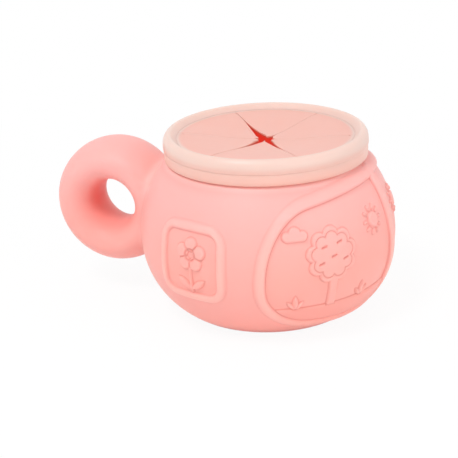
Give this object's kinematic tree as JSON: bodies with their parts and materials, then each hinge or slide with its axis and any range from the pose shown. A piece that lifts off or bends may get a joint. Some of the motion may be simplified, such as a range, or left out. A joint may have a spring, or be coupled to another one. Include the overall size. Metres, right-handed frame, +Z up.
{
  "type": "toddler snack cup",
  "caption": "Round soft silicone snack cup with a fat ring handle, raised garden windows and a stretch-on lid slit into springy petals that a small hand pushes through.",
  "frame": {"origin": "centre of the cup's flat base, on the axis of the bowl and lid", "axes": "+Z up along the bowl's axis; +X towards the front, away from the ring handle; +Y to the object's left"},
  "size_m": [0.1514, 0.1096, 0.0766],
  "materials": {
    "cup_silicone": "matte pink silicone",
    "relief_silicone": "matte pink silicone, the same moulding as the cup",
    "lid_silicone": "milky translucent pale pink silicone"
  },
  "bodies": {
    "cup": {"bowl": "cup_silicone", "handle": "cup_silicone", "front_pillar": "relief_silicone", "front_window_right": "relief_silicone", "front_window_left": "relief_silicone", "rear_window_right": "relief_silicone", "rear_window_left": "relief_silicone", "tree_right": "relief_silicone", "tree_left": "relief_silicone", "sun_right": "relief_silicone", "sun_left": "relief_silicone", "cloud_right": "relief_silicone", "cloud_left": "relief_silicone", "flower_right": "relief_silicone", "flower_left": "relief_silicone"},
    "lid": {"lid_rim": "lid_silicone"},
    "petal_1": {"petal_1": "lid_silicone"},
    "petal_2": {"petal_2": "lid_silicone"},
    "petal_3": {"petal_3": "lid_silicone"},
    "petal_4": {"petal_4": "lid_silicone"},
    "petal_5": {"petal_5": "lid_silicone"},
    "petal_6": {"petal_6": "lid_silicone"}
  },
  "joints": [
    {"name": "lid_lift", "type": "slide", "parent": "cup", "child": "lid", "axis": [0, 0, 1], "range_m": [0, 0.034]},
    {"name": "petal_1_flex", "type": "hinge", "parent": "lid", "child": "petal_1", "pos_m": [0.02253, 0.02028, 0.07385], "axis": [0.6691, -0.7431, 0], "range_deg": [-60, 78], "stiffness_Nm_per_rad": 0.01},
    {"name": "petal_2_flex", "type": "hinge", "parent": "lid", "child": "petal_2", "pos_m": [-0.0063, 0.02965, 0.07385], "axis": [0.9781, 0.2079, 0], "range_deg": [-60, 78], "stiffness_Nm_per_rad": 0.01},
    {"name": "petal_3_flex", "type": "hinge", "parent": "lid", "child": "petal_3", "pos_m": [-0.02883, 0.00937, 0.07385], "axis": [0.309, 0.9511, 0], "range_deg": [-60, 78], "stiffness_Nm_per_rad": 0.01},
    {"name": "petal_4_flex", "type": "hinge", "parent": "lid", "child": "petal_4", "pos_m": [-0.02253, -0.02028, 0.07385], "axis": [-0.6691, 0.7431, 0], "range_deg": [-60, 78], "stiffness_Nm_per_rad": 0.01},
    {"name": "petal_5_flex", "type": "hinge", "parent": "lid", "child": "petal_5", "pos_m": [0.0063, -0.02965, 0.07385], "axis": [-0.9781, -0.2079, 0], "range_deg": [-60, 78], "stiffness_Nm_per_rad": 0.01},
    {"name": "petal_6_flex", "type": "hinge", "parent": "lid", "child": "petal_6", "pos_m": [0.02883, -0.00937, 0.07385], "axis": [-0.309, -0.9511, 0], "range_deg": [-60, 78], "stiffness_Nm_per_rad": 0.01}
  ]
}
